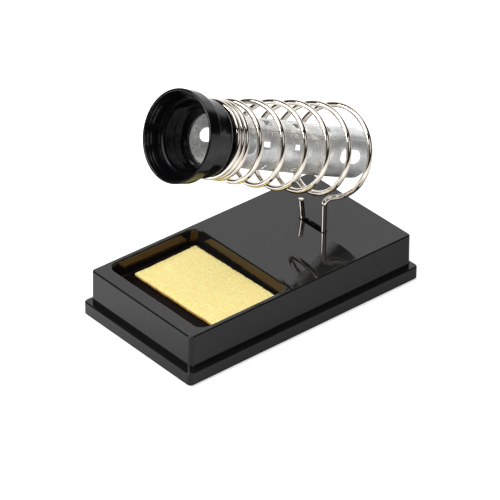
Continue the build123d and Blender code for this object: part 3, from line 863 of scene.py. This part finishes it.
in_tray = worked(base_gloss, "MULTIPLY", in_plan, below_deck)
# Painted reflection: inside the tray, what the walls mirror is tinted a deep orange.
painted_mirror_tint = blend_colours(base_gloss, in_tray, (1.0, 1.0, 1.0), (1.0, 0.46, 0.06))
# The tray's floor is rougher, its colour darker, and it mirrors the room much dimmer.
painted_mirror_tint = blend_colours(base_gloss, rough_dark_tray_floor, painted_mirror_tint, (0.30, 0.18, 0.20))
body = blend_colours(base_gloss, rough_dark_tray_floor, body, (0.0035, 0.0032, 0.0035))
rough = choose(base_gloss, rough_dark_tray_floor, sum_of(base_gloss, dusty, 0.25, smear), 0.75)
feed(base_gloss, shader, Base_Color=body, Roughness=rough, Specular_Tint=painted_mirror_tint)
peel = raise_relief(base_gloss, shader, noise(base_gloss, place, 240.0, 2.0, 0.45), 0.000008, 0.6)
raise_relief(base_gloss, shader, noise(base_gloss, place, 35.0, 1.0, 0.3), 0.00008, 0.7, under=peel)
dress(base_gloss, "base_shell")

# %% [markdown]
# ### Satin mouth plastic
# The mouth is a heat-resistant black plastic with a duller surface. Its reflections are soft, and slow
# bumps from the mould and from shrinking pull them out of shape, most of all inside the bowl.

# %% Mouth plastic
mouth_satin, shader = new_finish("mouth_satin", (0.006, 0.006, 0.0065), 0.22)
shader.inputs["Specular IOR Level"].default_value = 0.42
place = surface_place(mouth_satin)
cloud = noise(mouth_satin, place, 130.0, 4.0, 0.55)
body = blend_colours(mouth_satin, cloud, (0.0015, 0.0015, 0.002), (0.0035, 0.0035, 0.004))
feed(mouth_satin, shader, Base_Color=body, Roughness=spread(mouth_satin, cloud, 0.3, 0.7, 0.10, 0.18))
grain = raise_relief(mouth_satin, shader, noise(mouth_satin, place, 1500.0, 2.0, 0.5), 0.00001, 0.35)
facing = add_node(mouth_satin, "TexCoord").outputs["Normal"]
rim_centre = tuple(mouth_centre)
from_rim = add_node(mouth_satin, "VectorMath", {0: place, 1: rim_centre}, operation="SUBTRACT").outputs[0]
station = along_direction(mouth_satin, from_rim, axis_along)
down_axis = along_direction(mouth_satin, facing, -axis_along)
# A face looks inwards where its normal points against the way out from the axis.
from_rim_out = add_node(mouth_satin, "VectorMath", {0: facing, 1: from_rim}, operation="DOT_PRODUCT")
outwards = sum_of(mouth_satin, down_axis, station, from_rim_out.outputs["Value"])
inside = spread(mouth_satin, outwards, -0.001, 0.001, 1.0, 0.0)
ripples = noise(mouth_satin, add_node(mouth_satin, "CombineXYZ", {"X": station}).outputs[0], 340.0, 2.0, 0.5)
ripples = worked(mouth_satin, "MULTIPLY", ripples, inside)
mould_rings = raise_relief(mouth_satin, shader, ripples, 0.0006, 0.8, under=grain)
raise_relief(mouth_satin, shader, noise(mouth_satin, place, 70.0, 2.0, 0.4), 0.0012, 0.7, under=mould_rings)
dress(mouth_satin, "mouth_funnel")

# %% [markdown]
# ### Bright plating on the wire
# Nickel plating over drawn wire is a slightly warm mirror. Fine draw lines run along it, so the pattern
# reads the wire's own map, long in one direction and narrow in the other.

# %% Wire plating
nickel, shader = new_finish("nickel", (0.90, 0.83, 0.74), 0.07, 1.0)
along_wire = add_node(nickel, "UVMap", uv_map="along_wire").outputs["UV"]
draw_lines = noise(nickel, stretched(nickel, along_wire, (40.0, 1800.0, 1.0)), 1.0, 2.0, 0.5)
patches = noise(nickel, surface_place(nickel), 120.0, 2.0, 0.5)
tint = blend_colours(nickel, patches, (0.97, 0.91, 0.83), (0.90, 0.82, 0.72))
feed(nickel, shader, Base_Color=tint, Roughness=spread(nickel, patches, 0.3, 0.7, 0.03, 0.05))
raise_relief(nickel, shader, draw_lines, 0.000003, 0.3)
dress(nickel, "wound_wire")

# %% [markdown]
# ### Tinned sheet of the guard tube
# Hot-dipped tin dries with cloudy patches: some spots stay bright, others turn matt and bluish grey. Handling
# and rolling add smears round the tube. The pattern reads the flat blank, so smears follow the sheet.

# %% Tube sheet
tinned, shader = new_finish("tinned", (0.62, 0.64, 0.65), 0.45, 0.6)
flat_blank = add_node(tinned, "UVMap", uv_map="flat_blank").outputs["UV"]
clouds = noise(tinned, flat_blank, 95.0, 6.0, 0.62)
smears = noise(tinned, stretched(tinned, flat_blank, (1.0, 0.28, 1.0)), 420.0, 4.0, 0.6)
dull = sum_of(tinned, smears, 0.45, clouds)
matt = spread(tinned, dull, 0.60, 0.90, 0.0, 1.0)
sheen = blend_colours(tinned, matt, (1.0, 1.0, 0.98), (0.66, 0.68, 0.69))
feed(tinned, shader, Base_Color=sheen, Roughness=spread(tinned, dull, 0.5, 0.9, 0.16, 0.40))
fine = raise_relief(tinned, shader, smears, 0.00002, 0.4)
raise_relief(tinned, shader, noise(tinned, flat_blank, 150.0, 2.0, 0.5), 0.00016, 0.6, under=fine)
dress(tinned, "rolled_tube")

# %% [markdown]
# ### Dry cellulose
# Cellulose lets light in a little way, so its pores glow instead of going black. Colour changes in small
# spots between straw and pale cream. The cut sides get painted shade: below the top they turn a darker orange.

# %% Sponge cellulose
cellulose, shader = new_finish("cellulose", (0.93, 0.76, 0.31), 0.95)
shader.inputs["Specular IOR Level"].default_value = 0.2
shader.inputs["Subsurface Weight"].default_value = 0.25
shader.inputs["Subsurface Radius"].default_value = (1.0, 0.75, 0.35)
shader.inputs["Subsurface Scale"].default_value = 0.0006
place = surface_place(cellulose)
mottle = noise(cellulose, place, 700.0, 4.0, 0.65)
patchy = noise(cellulose, place, 75.0, 3.0, 0.5)
grains = spread(cellulose, mottle, 0.34, 0.62, 0.0, 1.0)
straw = blend_colours(cellulose, grains, (1.0, 0.74, 0.26), (1.0, 0.90, 0.40))
straw = blend_colours(cellulose, spread(cellulose, patchy, 0.42, 0.72, 0.0, 0.5), straw, (1.0, 0.80, 0.35))
sponge_top = sponge_high.z
heights = add_node(cellulose, "SeparateXYZ", {"Vector": place}).outputs["Z"]
# Painted shade: the cut sides below the top are coloured a darker orange.
painted_side_shade = spread(cellulose, heights, sponge_top - 1.3 * mm, sponge_top - 0.75 * mm, 1.0, 0.0)
feed(cellulose, shader, Base_Color=blend_colours(cellulose, painted_side_shade, straw, (0.62, 0.30, 0.06)))
fibres = raise_relief(cellulose, shader, noise(cellulose, place, 2400.0, 3.0, 0.6), 0.00006, 0.5)
raise_relief(cellulose, shader, noise(cellulose, place, 900.0, 3.0, 0.6), 0.00012, 0.5, under=fibres)
dress(cellulose, "sponge_slab")

# %% [markdown]
# ### Underside
# The closing plate is zinc-plated steel with a faint crystal pattern. The ballast above it is rough cast
# iron, the screws are bright zinc, and the feet are dull black rubber with a dusty bloom.

# %% Underside finishes
zinc_plate, shader = new_finish("zinc_plate", (0.50, 0.52, 0.53), 0.4, 1.0)
place = surface_place(zinc_plate)
crystals = add_node(zinc_plate, "TexVoronoi", {"Vector": place, "Scale": 180.0, "Randomness": 1.0})
tone = add_node(zinc_plate, "RGBToBW", {"Color": crystals.outputs["Color"]}).outputs[0]
scuffs = noise(zinc_plate, stretched(zinc_plate, place, (0.15, 1.0, 1.0)), 700.0, 3.0, 0.6)
feed(zinc_plate, shader, Base_Color=blend_colours(zinc_plate, tone, (0.44, 0.46, 0.47), (0.58, 0.60, 0.61)))
feed(zinc_plate, shader, Roughness=spread(zinc_plate, scuffs, 0.3, 0.7, 0.28, 0.50))
raise_relief(zinc_plate, shader, scuffs, 0.00002, 0.5)
dress(zinc_plate, "bottom_plate")

cast_iron, shader = new_finish("cast_iron", (0.06, 0.058, 0.055), 0.7, 0.6)
place = surface_place(cast_iron)
sand = noise(cast_iron, place, 900.0, 4.0, 0.6)
rust = spread(cast_iron, noise(cast_iron, place, 120.0, 4.0, 0.6), 0.55, 0.72, 0.0, 0.7)
feed(cast_iron, shader, Base_Color=blend_colours(cast_iron, rust, (0.055, 0.055, 0.057), (0.16, 0.07, 0.035)))
feed(cast_iron, shader, Roughness=spread(cast_iron, sand, 0.3, 0.7, 0.55, 0.85))
raise_relief(cast_iron, shader, sand, 0.0002, 0.8)
dress(cast_iron, "ballast_weight")

bright_zinc, shader = new_finish("bright_zinc", (0.66, 0.68, 0.70), 0.25, 1.0)
place = surface_place(bright_zinc)
wear = noise(bright_zinc, place, 1200.0, 3.0, 0.6)
feed(bright_zinc, shader, Base_Color=blend_colours(bright_zinc, wear, (0.60, 0.62, 0.64), (0.74, 0.75, 0.74)))
feed(bright_zinc, shader, Roughness=spread(bright_zinc, wear, 0.3, 0.7, 0.18, 0.36))
raise_relief(bright_zinc, shader, wear, 0.00002, 0.4)
dress(bright_zinc, "plate_screws", "ballast_screws")

foot_rubber, shader = new_finish("foot_rubber", (0.022, 0.022, 0.023), 0.75)
shader.inputs["Specular IOR Level"].default_value = 0.35
place = surface_place(foot_rubber)
bloom = noise(foot_rubber, place, 350.0, 4.0, 0.6)
dusty_rubber = blend_colours(foot_rubber, bloom, (0.014, 0.014, 0.015), (0.045, 0.044, 0.042))
feed(foot_rubber, shader, Base_Color=dusty_rubber, Roughness=spread(foot_rubber, bloom, 0.3, 0.7, 0.62, 0.88))
raise_relief(foot_rubber, shader, noise(foot_rubber, place, 1800.0, 3.0, 0.6), 0.00005, 0.6)
dress(foot_rubber, *[name for name in sorted(frame["nodes"]) if name.startswith("rubber_foot")])
